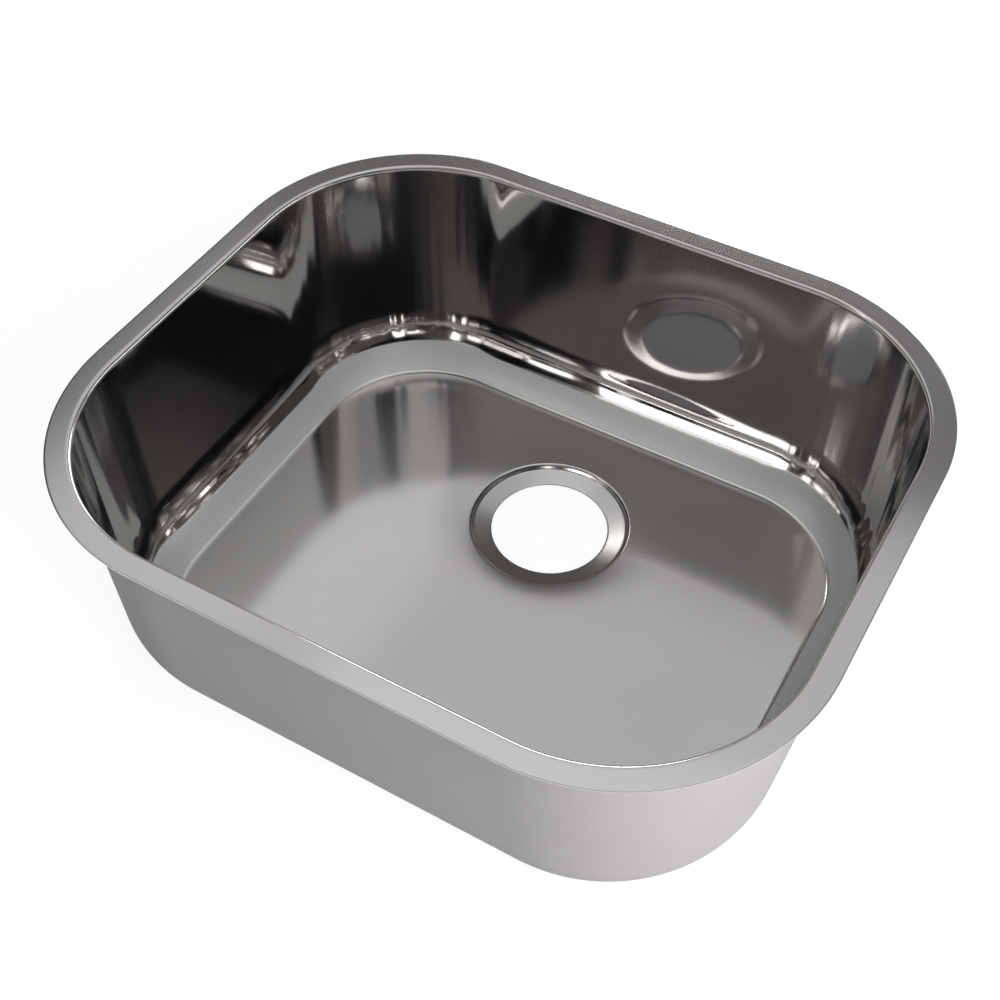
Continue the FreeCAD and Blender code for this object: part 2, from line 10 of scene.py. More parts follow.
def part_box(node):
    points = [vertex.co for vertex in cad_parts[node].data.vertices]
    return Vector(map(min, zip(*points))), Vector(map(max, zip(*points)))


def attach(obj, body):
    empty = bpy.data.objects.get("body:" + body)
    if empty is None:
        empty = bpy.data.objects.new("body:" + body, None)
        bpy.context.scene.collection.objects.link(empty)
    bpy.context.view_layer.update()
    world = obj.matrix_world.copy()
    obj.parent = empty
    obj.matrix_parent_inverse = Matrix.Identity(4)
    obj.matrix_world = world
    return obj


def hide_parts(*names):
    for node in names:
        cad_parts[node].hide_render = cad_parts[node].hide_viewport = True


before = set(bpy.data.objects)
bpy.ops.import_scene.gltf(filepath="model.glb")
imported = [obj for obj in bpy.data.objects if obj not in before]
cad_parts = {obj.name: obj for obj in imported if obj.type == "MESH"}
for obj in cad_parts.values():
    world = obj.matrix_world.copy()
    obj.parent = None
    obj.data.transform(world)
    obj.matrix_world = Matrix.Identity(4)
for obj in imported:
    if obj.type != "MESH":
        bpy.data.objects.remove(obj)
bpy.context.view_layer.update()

# ---------------------------------------------------------------- drawn steel bowl
# One stainless sheet, deep-drawn into flange, walls, bottom radius, floor and outlet seat. The walls are
# polished to a mirror; flange, floor, seat and the foot of the bottom radius are brushed to a satin. The
# underside keeps the dull finish of the mill.

MM = 0.001
GAUGE = 1.0 * MM
FLANGE = 17.0 * MM
OUTER_CORNER = 141.0 * MM
BEND_RADIUS = 3.0 * MM
BOWL_DEPTH = 180.0 * MM
DRAFT = math.radians(3.2)
BOTTOM_RADIUS = 56.0 * MM
CREASE_SLOPE = math.radians(31.0)
CREASE_RADIUS = 8.0 * MM
FLOOR_LIP = 2.0 * MM
OUTLET_Y = 70.0 * MM
HOLE_RADIUS = 44.5 * MM
SEAT_RADIUS = 57.5 * MM
SEAT_FALL = 2.7 * MM
SEAT_CORNER = 1.5 * MM
SHOULDER_SLOPE = math.radians(60.0)
SHOULDER_RADIUS = 3.0 * MM
SHOULDER_DROP = 3.3 * MM
FLOOR_FALL = 1.5 * MM
DISH_MARGIN = 3.0 * MM
SATIN_HEIGHT = 15.0 * MM
CORNER_SATIN = 3.0 * MM
EDGE_ROUND = 0.2 * MM

# The waves in the corners of the walls: their height, and where they fade out above the floor, below the
# rim, and at both ends of a corner's turn, as a share of it.
RIPPLE = 0.38 * MM
RIPPLE_PITCH = 7.0 * MM
RIPPLE_STRETCH = 0.1
RIPPLE_START = 18.0 * MM
RIPPLE_FULL = 34.0 * MM
RIPPLE_TOP_START = 4.0 * MM
RIPPLE_TOP_FULL = 12.0 * MM
RIPPLE_END = 0.12

_, RIM_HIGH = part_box("sink_bowl")
RIM_TOP = RIM_HIGH[2]
HALF_LENGTH = RIM_HIGH[0] - FLANGE
HALF_WIDTH = RIM_HIGH[1] - FLANGE
CORNER = OUTER_CORNER - FLANGE
CORNER_X = HALF_LENGTH - CORNER
CORNER_Y = HALF_WIDTH - CORNER
FLOOR_Z = RIM_TOP - BOWL_DEPTH
FLOOR_SPOT = (0, -0.1, FLOOR_Z)

# The large bottom radius: height of its centre, and its distance in from the wall's line at the rim.
TURN_Z = FLOOR_Z + CREASE_RADIUS * (1 - math.cos(CREASE_SLOPE)) + BOTTOM_RADIUS * math.cos(CREASE_SLOPE)
TURN_INSET = BOTTOM_RADIUS / math.cos(DRAFT) + (RIM_TOP - TURN_Z) * math.tan(DRAFT)
FLAT_START = TURN_INSET - (BOTTOM_RADIUS - CREASE_RADIUS) * math.sin(CREASE_SLOPE)

# The floor falls to the outlet ever more steeply, in one bow, so that no line shows in the satin.
DISH_RADIUS = HALF_WIDTH - FLAT_START - DISH_MARGIN - OUTLET_Y
DISH_BOW = (DISH_RADIUS - SEAT_RADIUS) ** 2 / (2 * FLOOR_FALL)
DISH_CENTRE = Vector((DISH_RADIUS, 0, FLOOR_Z - DISH_BOW))
SEAT_SLOPE = math.atan2(SEAT_FALL, SEAT_RADIUS - HOLE_RADIUS)

# How finely curves are cut, and the short strips beside them that keep flat faces flat in the shading.
CORNER_STEPS = 96
ROUND_STEPS = 144
TURN_STEPS = 40
CREASE_STEPS = 12
BEND_STEPS = 12
DISH_STEPS = 24
SHOULDER_STEPS = 16
SEAT_CORNER_STEPS = 10
SUPPORT = 1.5 * MM
MERGE = 0.02 * MM

# Where one finish of the steel gives way to the next, as the start and the end of the change: heights at
# the flange, the satin line and the flat floor, distances from the outlet, and from a corner's centre.
FLANGE_LINE = (RIM_TOP - 3.4 * MM, RIM_TOP - 2.6 * MM)
SATIN_LINE = (FLOOR_Z + SATIN_HEIGHT - 1.0 * MM, FLOOR_Z + SATIN_HEIGHT + 1.0 * MM)
FLOOR_LINE = (FLOOR_Z + 0.3 * MM, FLOOR_Z + 1.6 * MM)
SEAT_LINE = (SEAT_RADIUS + 3.2 * MM, SEAT_RADIUS + 4.2 * MM)
CORNER_LINE = (-8.0 * MM, 24.0 * MM)

# How much of the band and of the flange scatters light as a matt surface does.
BAND_DULLNESS = 0.6
FLANGE_DULLNESS = 0.1

# Roughness of the satin and of the mirror, and what the band and the seat add to it.
SATIN_ROUGHNESS = 0.11
MIRROR_ROUGHNESS = 0.06
BAND_ROUGHNESS = 0.30
SEAT_ROUGHNESS = 0.08
MILL_ROUGHNESS = 0.33

# The colours that each kind of steel varies between.
STEEL = ((0.60, 0.585, 0.575, 1), (0.64, 0.63, 0.62, 1))
BAND_STEEL = (0.81, 0.805, 0.79, 1)
MILL_STEEL = ((0.50, 0.49, 0.485, 1), (0.58, 0.57, 0.565, 1))


def newest(result, kind):
    """The vertices, edges or faces that an operator has just made."""
    return [item for item in result if isinstance(item, kind)]


def run_on(bm, tip, offset):
    """Lengthens an outline from its last vertex, in a straight line."""
    made = newest(bmesh.ops.extrude_vert_indiv(bm, verts=[tip])["verts"], bmesh.types.BMVert)
    bmesh.ops.translate(bm, verts=made, vec=offset)
    return made[0]


def straight(bm, tip, direction, length):
    """A flat stretch of an outline, with a support strip at each end."""
    for part in (SUPPORT, length - 2 * SUPPORT, SUPPORT):
        tip = run_on(bm, tip, direction * part)
    return tip


def turn(bm, tip, centre, angle, steps):
    """Lengthens an outline in the XZ plane from its last vertex, as an arc about a centre."""
    made = bmesh.ops.spin(bm, geom=[tip], cent=centre, axis=(0, 1, 0), angle=angle, steps=steps)
    return newest(made["geom_last"], bmesh.types.BMVert)[0]


def slide(bm, outline, offset):
    """Extrudes an outline's edges along a straight side of the bowl."""
    made = bmesh.ops.extrude_edge_only(bm, edges=newest(outline, bmesh.types.BMEdge))["geom"]
    bmesh.ops.translate(bm, verts=newest(made, bmesh.types.BMVert), vec=offset)
    return [item for item in made if not isinstance(item, bmesh.types.BMFace)]


def carry_round(bm):
    """Carries the outline of the right-hand wall round the rounded rectangle of the bowl."""
    outline = list(bm.verts) + list(bm.edges)
    sides = (
        (CORNER_X, CORNER_Y, Vector((0, 1, 0)), CORNER_Y),
        (-CORNER_X, CORNER_Y, Vector((-1, 0, 0)), CORNER_X),
        (-CORNER_X, -CORNER_Y, Vector((0, -1, 0)), CORNER_Y),
        (CORNER_X, -CORNER_Y, Vector((1, 0, 0)), CORNER_X),
        (CORNER_X, 0, Vector((0, 1, 0)), CORNER_Y),
    )
    for corner_x, corner_y, along, half_side in sides:
        # The first and the last side are the two halves of the right-hand wall.
        if along.y > 0:
            lengths = (half_side - SUPPORT, SUPPORT) if corner_y else (SUPPORT, half_side - SUPPORT)
        else:
            lengths = (SUPPORT, 2 * (half_side - SUPPORT), SUPPORT)
        for length in lengths:
            outline = slide(bm, outline, along * length)
        if corner_y:
            outline = bmesh.ops.spin(
                bm, geom=outline, cent=(corner_x, corner_y, 0), axis=(0, 0, 1), angle=math.pi / 2,
                steps=CORNER_STEPS,
            )["geom_last"]


def wall_outline(bm, depth, top_z):
    """Wall, bottom radius, crease and floor lip, drawn downwards, that far outside the bowl's inside."""
    lean = Vector((math.sin(DRAFT), 0, math.cos(DRAFT)))
    outward = Vector((math.cos(DRAFT), 0, -math.sin(DRAFT)))
    centre = Vector((HALF_LENGTH - TURN_INSET, 0, TURN_Z))
    foot = centre + outward * (BOTTOM_RADIUS + depth)
    height = (top_z - foot.z) / lean.z
    head = bmesh.ops.create_vert(bm, co=foot + lean * height)["vert"][0]
    tip = straight(bm, head, -lean, height)
    tip = turn(bm, tip, centre, math.pi / 2 - CREASE_SLOPE - DRAFT, TURN_STEPS)
    crease = Vector((HALF_LENGTH - FLAT_START, 0, FLOOR_Z + CREASE_RADIUS))
    tip = turn(bm, tip, crease, CREASE_SLOPE, CREASE_STEPS)
    run_on(bm, tip, Vector((-FLOOR_LIP, 0, 0)))
    return head


def flange_outline(bm, head):
    """The bend over the top of the wall, and the flange out to its edge."""
    bend_x = HALF_LENGTH + BEND_RADIUS / math.cos(DRAFT) - BEND_RADIUS * math.tan(DRAFT)
    centre = Vector((bend_x, 0, RIM_TOP - BEND_RADIUS))
    tip = turn(bm, head, centre, math.pi / 2 - DRAFT, BEND_STEPS)
    straight(bm, tip, Vector((1, 0, 0)), RIM_HIGH[0] - tip.co.x)


def dish_outline(bm, depth, angle):
    """The floor's fall towards the outlet, that far below the bowl's inside."""
    edge = bmesh.ops.create_vert(bm, co=(DISH_RADIUS, 0, FLOOR_Z - depth))["vert"][0]
    return turn(bm, edge, DISH_CENTRE, -angle, DISH_STEPS)


def outlet_outline(bm):
    """From the dish over the shoulder, down its steep wall and across the seat to the hole."""
    seat_corner_z = FLOOR_Z - FLOOR_FALL - SHOULDER_DROP + SEAT_CORNER * math.cos(SEAT_SLOPE)
    corner = Vector((SEAT_RADIUS - SEAT_CORNER * math.sin(SEAT_SLOPE), 0, seat_corner_z))
    downhill = Vector((math.sin(SHOULDER_SLOPE), 0, -math.cos(SHOULDER_SLOPE)))
    foot = corner + SEAT_CORNER * downhill
    # The shoulder's centre lies one radius beside the steep wall and one radius below the dish.
    wall = Vector((math.cos(SHOULDER_SLOPE), 0, math.sin(SHOULDER_SLOPE)))
    from_centre = foot + downhill * SHOULDER_RADIUS - DISH_CENTRE
    along = from_centre.dot(wall)
    climb = math.sqrt(along**2 - from_centre.length_squared + (DISH_BOW - SHOULDER_RADIUS) ** 2) - along
    to_shoulder = from_centre + wall * climb
    dish_angle = math.atan2(-to_shoulder.x, to_shoulder.z)
    tip = dish_outline(bm, 0, dish_angle)
    tip = turn(bm, tip, DISH_CENTRE + to_shoulder, dish_angle - SHOULDER_SLOPE, SHOULDER_STEPS)
    tip = run_on(bm, tip, foot - tip.co)
    tip = turn(bm, tip, corner, SHOULDER_SLOPE - SEAT_SLOPE, SEAT_CORNER_STEPS)
    across = Vector((-math.cos(SEAT_SLOPE), 0, -math.sin(SEAT_SLOPE)))
    straight(bm, tip, across, (SEAT_RADIUS - HOLE_RADIUS) / math.cos(SEAT_SLOPE))


def add_outlet(bm, outline, level):
    """Spins the outlet's outline, sets it into the bowl and closes the flat floor around it."""
    bmesh.ops.spin(
        outline, geom=list(outline.verts) + list(outline.edges), cent=(0, 0, 0), axis=(0, 0, 1),
        angle=2 * math.pi, steps=ROUND_STEPS, use_merge=True,
    )
    bmesh.ops.translate(outline, verts=outline.verts, vec=(0, OUTLET_Y, 0))
    spare = bpy.data.meshes.new("spare")
    outline.to_mesh(spare)
    outline.free()
    bm.from_mesh(spare)
    bpy.data.meshes.remove(spare)
    bmesh.ops.remove_doubles(bm, verts=bm.verts, dist=MERGE)
    border = [e for e in bm.edges if e.is_boundary and all(abs(v.co.z - level) < MERGE for v in e.verts)]
    bmesh.ops.triangle_fill(bm, edges=border, use_beauty=True)


def smooth_step(value, start, end):
    """Rises smoothly from 0 to 1 while a number goes from start to end."""
    share = min(max((value - start) / (end - start), 0), 1)
    return share * share * (3 - 2 * share)


def ripple_corners(bm):
    """The faint upright waves that the deep draw leaves in the sheet at the corners of the walls."""
    for vert in bm.verts:
        x, y, z = vert.co
        if abs(x) <= CORNER_X or abs(y) <= CORNER_Y:
            continue
        centre = Vector((math.copysign(CORNER_X, x), math.copysign(CORNER_Y, y), 0))
        outward = Vector((x - centre.x, y - centre.y, 0)).normalized()
        place = math.atan2(abs(outward.y), abs(outward.x)) / (math.pi / 2)
        fade = smooth_step(place, 0, RIPPLE_END) * smooth_step(1 - place, 0, RIPPLE_END)
        fade *= smooth_step(z, FLOOR_Z + RIPPLE_START, FLOOR_Z + RIPPLE_FULL)
        fade *= smooth_step(RIM_TOP - z, RIPPLE_TOP_START, RIPPLE_TOP_FULL)
        along = centre + outward * CORNER
        wave = noise.noise(Vector((along.x, along.y, RIPPLE_STRETCH * z)) / RIPPLE_PITCH)
        vert.co += outward * (RIPPLE * fade * wave)


def finish_mesh(bm, name, upwards_at):
    """Points all faces the way the face nearest to a place looks when it looks up, and makes the mesh."""
    bmesh.ops.recalc_face_normals(bm, faces=bm.faces)
    guide = min(bm.faces, key=lambda face: (face.calc_center_median() - Vector(upwards_at)).length)
    if guide.normal.z < 0:
        bmesh.ops.reverse_faces(bm, faces=bm.faces)
    mesh = bpy.data.meshes.new(name)
    bm.to_mesh(mesh)
    bm.free()
    mesh.shade_smooth()
    return mesh


def new_piece(mesh, body, *finishes):
    """An object for a mesh, with its finishes, that rides on a body."""
    piece = bpy.data.objects.new(mesh.name, mesh)
    bpy.context.scene.collection.objects.link(piece)
    for finish in finishes:
        mesh.materials.append(finish)
    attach(piece, body)
    return piece


class Wire:
    """A shader socket that can be added, multiplied and so on like a number."""

    def __init__(self, nodes, socket):
        self.nodes = nodes
        self.socket = socket

    def __add__(self, other):
        return self.nodes.maths("ADD", self, other)

    def __sub__(self, other):
        return self.nodes.maths("SUBTRACT", self, other)

    def __mul__(self, other):
        return self.nodes.maths("MULTIPLY", self, other)

    def __rsub__(self, other):
        return self.nodes.maths("SUBTRACT", other, self)

    def __abs__(self):
        return self.nodes.maths("ABSOLUTE", self)

    __radd__ = __add__
    __rmul__ = __mul__


class Nodes:
    """The node tree of a finish or of the studio, filled node by node."""

    def __init__(self, owner):
        owner.use_nodes = True
        self.tree = owner.node_tree
        self.tree.nodes.clear()

    def add(self, kind, settings=None, inputs=None, output=0):
        """Makes a node with its settings and inputs, and gives one of its outputs."""
        node = self.tree.nodes.new(kind)
        for key, setting in (settings or {}).items():
            setattr(node, key, setting)
        for key, given in (inputs or {}).items():
            if isinstance(given, Wire):
                self.tree.links.new(given.socket, node.inputs[key])
            else:
                node.inputs[key].default_value = given
        return Wire(self, node.outputs[output])

    def maths(self, operation, first, second=0.0):
        """One sum of two values, or a function of the first."""
        return self.add("ShaderNodeMath", {"operation": operation}, {0: first, 1: second})

    def step(self, value, start, end):
        """Rises smoothly from 0 to 1 while a value goes from start to end."""
        return self.add(
            "ShaderNodeMapRange", {"interpolation_type": "SMOOTHSTEP"}, {0: value, 1: start, 2: end}
        )

    def blend(self, factor, first, second):
        """A colour between two colours."""
        return self.add("ShaderNodeMix", {"data_type": "RGBA"}, {0: factor, 6: first, 7: second}, 2)

    def place(self):
        """The object's own coordinates, as a vector."""
        return self.add("ShaderNodeTexCoord", output="Object")

    def axes(self, vector):
        """The x, y and z of a vector."""
        return [self.add("ShaderNodeSeparateXYZ", inputs={0: vector}, output=axis) for axis in range(3)]

    def noise(self, point, scale, stretch=(1, 1, 1), detail=2.0):
        """A noise pattern, drawn out along the axes that have a small stretch value."""
        stretched = self.add("ShaderNodeMapping", inputs={"Vector": point, "Scale": stretch})
        return self.add(
            "ShaderNodeTexNoise", inputs={"Vector": stretched, "Scale": scale, "Detail": detail}
        )

    def bump(self, height, distance, strength=1.0, under=None):
        """A relief in the surface, over another one where it is given."""
        sockets = {"Height": height, "Distance": distance, "Strength": strength}
        if under:
            sockets["Normal"] = under
        return self.add("ShaderNodeBump", inputs=sockets)

    def mix(self, factor, first, second):
        """A shader between two shaders."""
        return self.add("ShaderNodeMixShader", inputs={0: factor, 1: first, 2: second})

    def surface(self, **sockets):
        """Ends a finish in one Principled shader."""
        inputs = {key.replace("_", " "): given for key, given in sockets.items()}
        shader = self.add("ShaderNodeBsdfPrincipled", inputs=inputs)
        self.add_output("ShaderNodeOutputMaterial", shader)

    def add_output(self, kind, shader):
        """Ends the tree in an output node."""
        node = self.tree.nodes.new(kind)
        self.tree.links.new(shader.socket, node.inputs["Surface"])


def new_finish(name):
    """A material and its node tree, still empty."""
    finish = bpy.data.materials.new(name)
    return finish, Nodes(finish)


def inside_steel():
    """Mirror walls between a satin flange and a satin floor, with a duller band along the floor's edge."""
    finish, nodes = new_finish("polished_and_satin_steel")
    point = nodes.place()
    x, y, z = nodes.axes(point)
    beside_outlet = y - OUTLET_Y
    from_outlet = nodes.maths("SQRT", x * x + beside_outlet * beside_outlet)
    in_corner = nodes.step(abs(x) - CORNER_X, *CORNER_LINE) * nodes.step(abs(y) - CORNER_Y, *CORNER_LINE)
    flange = nodes.step(z, *FLANGE_LINE)
    mirror = nodes.step(z - CORNER_SATIN * in_corner, *SATIN_LINE) * (1 - flange)
    floor_level = 1 - nodes.step(z, *FLOOR_LINE)
    seat = 1 - nodes.step(from_outlet, *SEAT_LINE)
    band = 1 - mirror - floor_level - flange
    satin = 1 - mirror
    brushing = nodes.noise(point, 700, (0.03, 1, 1), detail=1)
    cloud = nodes.noise(point, 14, detail=2)
    wave = nodes.noise(point, 90, (1, 1, 0.10), detail=0)
    brushed = (SATIN_ROUGHNESS + 0.03 * brushing + 0.02 * cloud + 0.03 * flange) * satin
    polished = (MIRROR_ROUGHNESS + 0.04 * in_corner) * mirror
    roughness = brushed + polished + BAND_ROUGHNESS * band + SEAT_ROUGHNESS * seat
    waves = nodes.bump(wave * mirror, 0.025 * MM)
    lines = nodes.bump(brushing * satin, 0.001 * MM, 0.4, under=waves)
    colour = nodes.blend(band, nodes.blend(cloud, *STEEL), BAND_STEEL)
    metal = 1 - BAND_DULLNESS * band - FLANGE_DULLNESS * flange
    nodes.surface(Base_Color=colour, Metallic=metal, Roughness=roughness, Normal=lines)
    return finish


def outside_steel():
    """The dull, slightly cloudy finish that the sheet has from the mill."""
    finish, nodes = new_finish("mill_steel")
    point = nodes.place()
    grain = nodes.bump(nodes.noise(point, 1400, detail=4), 0.01 * MM, 0.5)
    cloud = nodes.noise(point, 20, detail=3)
    colour = nodes.blend(cloud, *MILL_STEEL)
    nodes.surface(Base_Color=colour, Metallic=1.0, Roughness=MILL_ROUGHNESS + 0.1 * cloud, Normal=grain)
    return finish


def bowl_mesh():
    """The inside of the bowl and the top of its flange, as one sheet without thickness."""
    bm = bmesh.new()
    bend_z = RIM_TOP - BEND_RADIUS + BEND_RADIUS * math.sin(DRAFT)
    head = wall_outline(bm, 0, bend_z)
    flange_outline(bm, head)
    carry_round(bm)
    outline = bmesh.new()
    outlet_outline(outline)
    add_outlet(bm, outline, FLOOR_Z)
    ripple_corners(bm)
    return finish_mesh(bm, "steel_bowl", FLOOR_SPOT)


bowl = new_piece(bowl_mesh(), "bowl", inside_steel(), outside_steel())
sheet = bowl.modifiers.new("sheet", "SOLIDIFY")
sheet.thickness = GAUGE
sheet.offset = -1
sheet.use_even_offset = True
sheet.material_offset = 1
edges = bowl.modifiers.new("edges", "BEVEL")
edges.width = EDGE_ROUND
edges.segments = 2
edges.limit_method = "ANGLE"
edges.angle_limit = math.radians(50)
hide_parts("sink_bowl")

# ---------------------------------------------------------------- undercoat
# A sprayed sound-deadening coat on the outside of the walls and floor. It stops short of the flange and
# leaves a round window about the outlet, and it dries matt, with the fine orange peel of the spray.

COAT = 0.8 * MM
COAT_START = 9.0 * MM
COAT_WINDOW = 66.0 * MM
COAT_ROUGHNESS = 0.62
COAT_COLOURS = ((0.305, 0.290, 0.300, 1), (0.345, 0.330, 0.340, 1))


def undercoat_mesh():
    """The face of the coat that lies on the steel, one gauge outside the bowl's inside."""
    bm = bmesh.new()
    wall_outline(bm, GAUGE, RIM_TOP - COAT_START)
    carry_round(bm)
    outline = bmesh.new()
    window_angle = math.asin((DISH_RADIUS - COAT_WINDOW) / (DISH_BOW - GAUGE))
    dish_outline(outline, GAUGE, window_angle)
    add_outlet(bm, outline, FLOOR_Z - GAUGE)
    return finish_mesh(bm, "sound_coat", FLOOR_SPOT)


def sprayed_coat():
    """Matt mauve-grey, with an orange peel."""
    finish, nodes = new_finish("sprayed_undercoat")
    point = nodes.place()
    peel = nodes.noise(point, 420, detail=3)
    cloud = nodes.noise(point, 9, detail=2)
    colour = nodes.blend(cloud, *COAT_COLOURS)
    relief = nodes.bump(peel, 0.25 * MM, 0.6)
    nodes.surface(Base_Color=colour, Roughness=COAT_ROUGHNESS + 0.1 * peel, Normal=relief)
    return finish


coat = new_piece(undercoat_mesh(), "bowl", sprayed_coat())
layer = coat.modifiers.new("layer", "SOLIDIFY")
layer.thickness = COAT
layer.offset = -1
layer.use_even_offset = True
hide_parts("undercoat")

# ---------------------------------------------------------------- rubber pads
# Three moulded rubber pads glued under the floor. They deaden the sound of water, and the sink stands on
# them before it is fitted.

RUBBER_ROUGHNESS = 0.58
RUBBER_COLOURS = ((0.020, 0.020, 0.021, 1), (0.040, 0.039, 0.038, 1))


def pad_rubber():
    """Black rubber with a fine grain and a faint grey bloom."""
    finish, nodes = new_finish("pad_rubber")
    point = nodes.place()
    grain = nodes.bump(nodes.noise(point, 700, detail=4), 0.12 * MM, 0.7)
    bloom = nodes.noise(point, 24, detail=3)
    colour = nodes.blend(bloom, *RUBBER_COLOURS)
    nodes.surface(Base_Color=colour, Roughness=RUBBER_ROUGHNESS + 0.2 * bloom, Normal=grain)
    return finish


def refinish(node, finish):
    """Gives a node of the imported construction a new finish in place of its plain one."""
    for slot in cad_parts[node].material_slots:
        slot.material = finish


rubber = pad_rubber()
for pad in ("left_pad", "right_pad", "front_pad"):
    refinish(pad, rubber)

# ---------------------------------------------------------------- studs and washers
# Eight short plain pins are welded under the flange, and a push-on washer holds a clip on each of them.
# Both are zinc-plated steel.

ZINC_ROUGHNESS = 0.28
ZINC_COLOURS = ((0.55, 0.56, 0.58, 1), (0.68, 0.68, 0.67, 1))


def zinc(name):
    """Bright zinc plate with its faint bluish clouds and fine scuffs."""
    finish, nodes = new_finish(name)
    point = nodes.place()
    spangle = nodes.noise(point, 160, detail=3)
    scuffs = nodes.bump(nodes.noise(point, 900, (0.2, 1, 1), detail=4), 0.01 * MM, 0.5)
    colour = nodes.blend(spangle, *ZINC_COLOURS)
    nodes.surface(Base_Color=colour, Metallic=1.0, Roughness=ZINC_ROUGHNESS + 0.14 * spangle, Normal=scuffs)
    return finish


refinish("clip_studs", zinc("stud_zinc"))
refinish("stud_washers", zinc("washer_zinc"))

# ---------------------------------------------------------------- clips
# Eight pressed clips, one on each stud. A clip lies along the flange until the sink is in place, and then
# swings out under the worktop and is screwed tight.

CLIPS = (
    "front_left_clip", "front_right_clip", "back_left_clip", "back_right_clip",
    "left_front_clip", "left_back_clip", "right_front_clip", "right_back_clip",
)

clip_zinc = zinc("clip_zinc")
for clip in CLIPS:
    refinish(clip, clip_zinc)

# ---------------------------------------------------------------- studio
# A pale floor in a dim room that is white to the camera. Ceiling panels of diffused light, soft boxes low
# down and a tall one are mirrored in the polished walls, and two fill lamps light only what is matt.

FLOOR_REACH = 12.0
FLOOR_PALE = (0.80, 0.80, 0.80, 1)
# The grey of the painted shadow that the metal sees on the floor under the sink.
FLOOR_SHADED = (0.32, 0.31, 0.325, 1)

# How white the floor looks, how much of that takes the place of its paint near the sink, and the distance
# at which the paint starts to fade out.
FLOOR_WHITE = 1.12
FLOOR_GLOW = 0.80
FAR_FLOOR = 1.2

# The room's light: low down, everywhere else, and in the three faint areas; its tint, and the direction,
# about the upright axis, in which the window area ends.
LOW_GLOW = 0.95
DIM_GLOW = 0.006
CAMERA_SIDE_GLOW = 0.15
FAR_SIDE_GLOW = 0.13
WINDOW_GLOW = 0.12
WINDOW_TURN = math.radians(47.0)
WARM = (1.0, 0.94, 0.91, 1)
WHITE = (1.0, 1.0, 1.0, 1)

RIM_CENTRE = Vector((0, 0, RIM_TOP))
LOW_BOX_DISTANCE = 2.6


def floor_paint():
    """Shows white to the eye and in the metal, keeps the sink's shadow, shows the metal a painted shadow
    under the sink, and is clear from below.
    """
    finish, nodes = new_finish("floor_paint")
    to_eye = nodes.add("ShaderNodeLightPath", output="Is Camera Ray")
    in_metal = nodes.add("ShaderNodeLightPath", output="Is Glossy Ray")
    in_glass = nodes.add("ShaderNodeLightPath", output="Is Transmission Ray")
    x, y, _ = nodes.axes(nodes.place())
    from_sink = nodes.maths("MAXIMUM", abs(x), abs(y))
    far = nodes.step(from_sink, FAR_FLOOR, 2 * FAR_FLOOR)
    # Under the sink the floor's paint turns grey for rays from the metal: a painted shadow, which the metal
    # mirrors.
    beside = nodes.step(from_sink, 0.5 * HALF_WIDTH, 1.2 * HALF_LENGTH)
    paper_and_painted_shadow = nodes.blend(in_metal * (1 - beside), FLOOR_PALE, FLOOR_SHADED)
    seen = nodes.maths("MAXIMUM", nodes.maths("MAXIMUM", to_eye, in_metal * beside), in_glass)
    paint = nodes.add("ShaderNodeBsdfDiffuse", inputs={"Color": paper_and_painted_shadow})
    glow = nodes.add("ShaderNodeEmission", inputs={"Color": WHITE, "Strength": FLOOR_WHITE})
    from_above = nodes.mix(seen * (FLOOR_GLOW + (1 - FLOOR_GLOW) * far), paint, glow)
    underneath = nodes.add("ShaderNodeNewGeometry", output="Backfacing")
    shader = nodes.mix(underneath, from_above, nodes.add("ShaderNodeBsdfTransparent"))
    nodes.add_output("ShaderNodeOutputMaterial", shader)
    return finish


def floor_mesh():
    """One large square."""
    bm = bmesh.new()
    bmesh.ops.create_grid(bm, x_segments=1, y_segments=1, size=FLOOR_REACH)
    mesh = bpy.data.meshes.new("floor")
    bm.to_mesh(mesh)
    bm.free()
    mesh.materials.append(floor_paint())
    return mesh


floor = bpy.data.objects.new("floor", floor_mesh())
bpy.context.scene.collection.objects.link(floor)


def light_room(room):
    """White to the camera. To the sink, pale low down and nearly dark above, but for three faint areas."""
    nodes = Nodes(room)
    ray = nodes.add("ShaderNodeTexCoord", output="Generated")
    x, y, up = nodes.axes(ray)
    low = 1 - nodes.step(up, 0.10, 0.16)
    camera_side = nodes.step(0 - y - 0.7 * x, 0.3, 0.9)
    far_side = nodes.step(y - 0.3 * x, 0.3, 0.9)
    past_edge = nodes.step(math.cos(WINDOW_TURN) * x - math.sin(WINDOW_TURN) * y, 0.0, 0.05)
    window = past_edge * nodes.step(y, 0.0, 0.1) * nodes.step(up, 0.60, 0.65)
    faint = CAMERA_SIDE_GLOW * camera_side + FAR_SIDE_GLOW * far_side + WINDOW_GLOW * window
    to_eye = nodes.add("ShaderNodeLightPath", output="Is Camera Ray")
    tint = nodes.blend(nodes.maths("MAXIMUM", low, to_eye), WARM, WHITE)
    brightness = nodes.maths("MAXIMUM", LOW_GLOW * low + DIM_GLOW + faint, to_eye)
    glow = nodes.add("ShaderNodeBackground", inputs={"Color": tint, "Strength": brightness})
    nodes.add_output("ShaderNodeOutputWorld", glow)


world = bpy.data.worlds.new("studio")
bpy.context.scene.world = world
light_room(world)


def lamp(name, size, radiance, place, aim, mirrored=True):
    """A rectangular soft box of even brightness. One that isn't mirrored only fills in matt surfaces."""
    data = bpy.data.lights.new(name, "AREA")
    data.shape = "RECTANGLE"
    data.size, data.size_y = size
    data.energy = radiance * math.pi * size[0] * size[1]
    box = bpy.data.objects.new(name, data)
    box.location = place
    box.rotation_euler = (Vector(place) - aim).to_track_quat("Z", "Y").to_euler()
    box.visible_camera = False
    box.visible_glossy = mirrored
    bpy.context.scene.collection.objects.link(box)


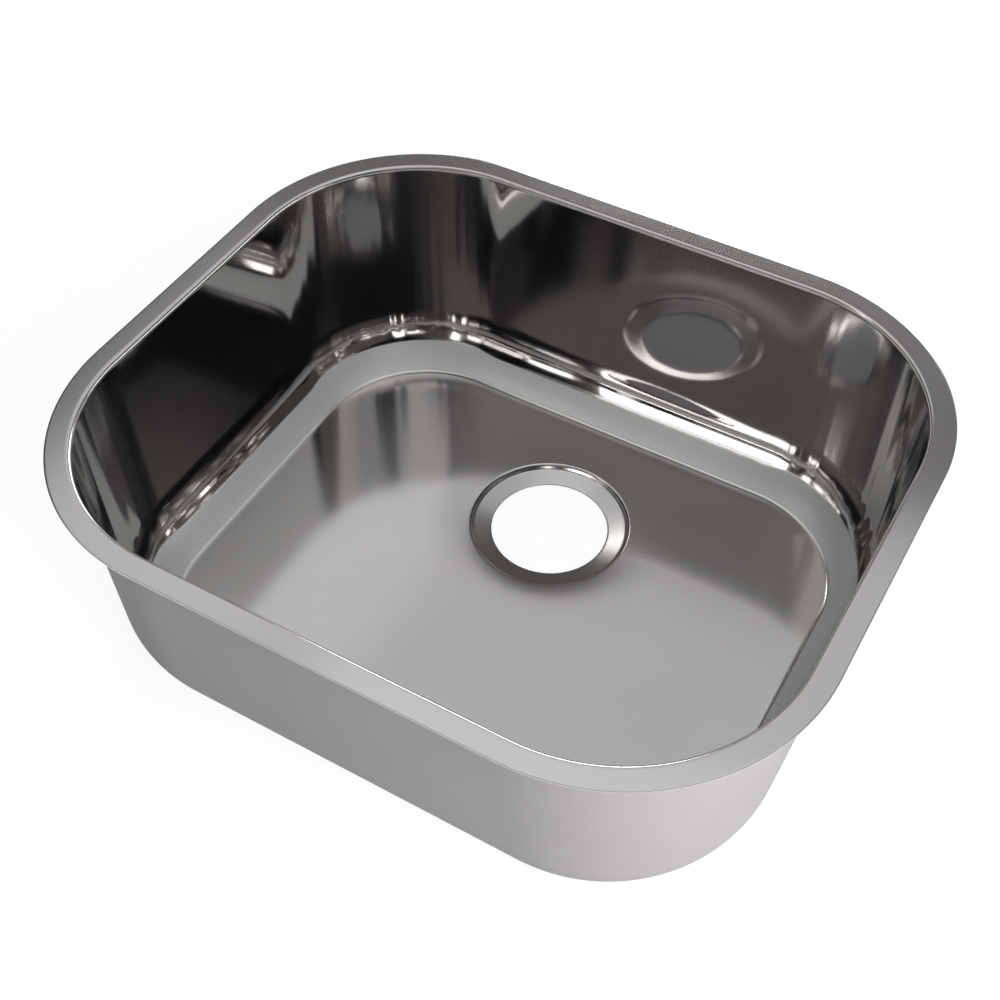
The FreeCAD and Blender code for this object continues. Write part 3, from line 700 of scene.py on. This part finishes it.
def ceiling(name, x_range, y_range, radiance, height):
    """A panel that faces down over a range of x and of y, that far above the rim."""
    middle = ((x_range[0] + x_range[1]) / 2, (y_range[0] + y_range[1]) / 2)
    size = (x_range[1] - x_range[0], y_range[1] - y_range[0])
    lamp(name, size, radiance, (*middle, RIM_TOP + height), Vector((*middle, RIM_TOP)))


def low_box(name, azimuth, elevation, size, radiance):
    """A soft box near the horizon; azimuth runs from +Y towards -X, in degrees."""
    across, lift = math.radians(azimuth), math.radians(elevation)
    away = Vector((-math.sin(across) * math.cos(lift), math.cos(across) * math.cos(lift), math.sin(lift)))
    lamp(name, size, radiance, RIM_CENTRE + LOW_BOX_DISTANCE * away, RIM_CENTRE)


ceiling("main_ceiling", (-1.30, 0.50), (-0.20, 1.24), 0.58, 1.30)
ceiling("right_ceiling", (0.50, 1.10), (-0.20, 0.55), 0.44, 1.30)
ceiling("corner_ceiling", (0.05, 0.62), (-0.85, -0.35), 0.50, 1.27)
ceiling("left_ceiling", (-1.35, -0.72), (0.30, 1.30), 0.14, 1.29)
ceiling("key_ceiling", (-0.60, 0.35), (0.05, 0.60), 0.30, 1.28)
ceiling("rear_ceiling", (-1.00, 0.80), (-1.00, -0.20), 0.19, 1.30)
low_box("far_box", 10, 21, (1.5, 0.70), 5.5)
low_box("camera_box", 166, 21, (0.6, 0.25), 1.2)
low_box("left_low_box", 140, 17, (0.6, 0.20), 1.5)
low_box("right_box", -64, 16, (2.8, 0.38), 3.2)
lamp("tall_box", (0.18, 0.40), 8.5, (-1.33, -0.88, RIM_TOP + 1.76), RIM_CENTRE)
lamp("side_fill", (0.6, 0.6), 10.5, (1.11, -0.64, RIM_TOP + 0.10), RIM_CENTRE, mirrored=False)
lamp("front_key", (0.5, 0.5), 10.5, (1.00, -0.68, RIM_TOP + 1.00), RIM_CENTRE, mirrored=False)

# ---------------------------------------------------------------- camera
# The photograph's own view, from the front right and above. Its place, its aim and its lens were solved
# from the edges of the rim, the silhouette and the outlet.

EYE = Vector((0.3338, -0.5831, RIM_TOP + 0.6789))
AIM = Vector((0.0355, -0.0671, RIM_TOP))

# Both in millimetres, as a camera's data has them.
LENS = 53.23
SENSOR_WIDTH = 36

camera_data = bpy.data.cameras.new("camera")
camera_data.lens = LENS
camera_data.sensor_width = SENSOR_WIDTH
camera = bpy.data.objects.new("camera", camera_data)
bpy.context.scene.collection.objects.link(camera)
bpy.context.scene.camera = camera
camera.location = EYE
camera.rotation_euler = (EYE - AIM).to_track_quat("Z", "Y").to_euler()
bpy.context.scene.view_settings.view_transform = "Standard"
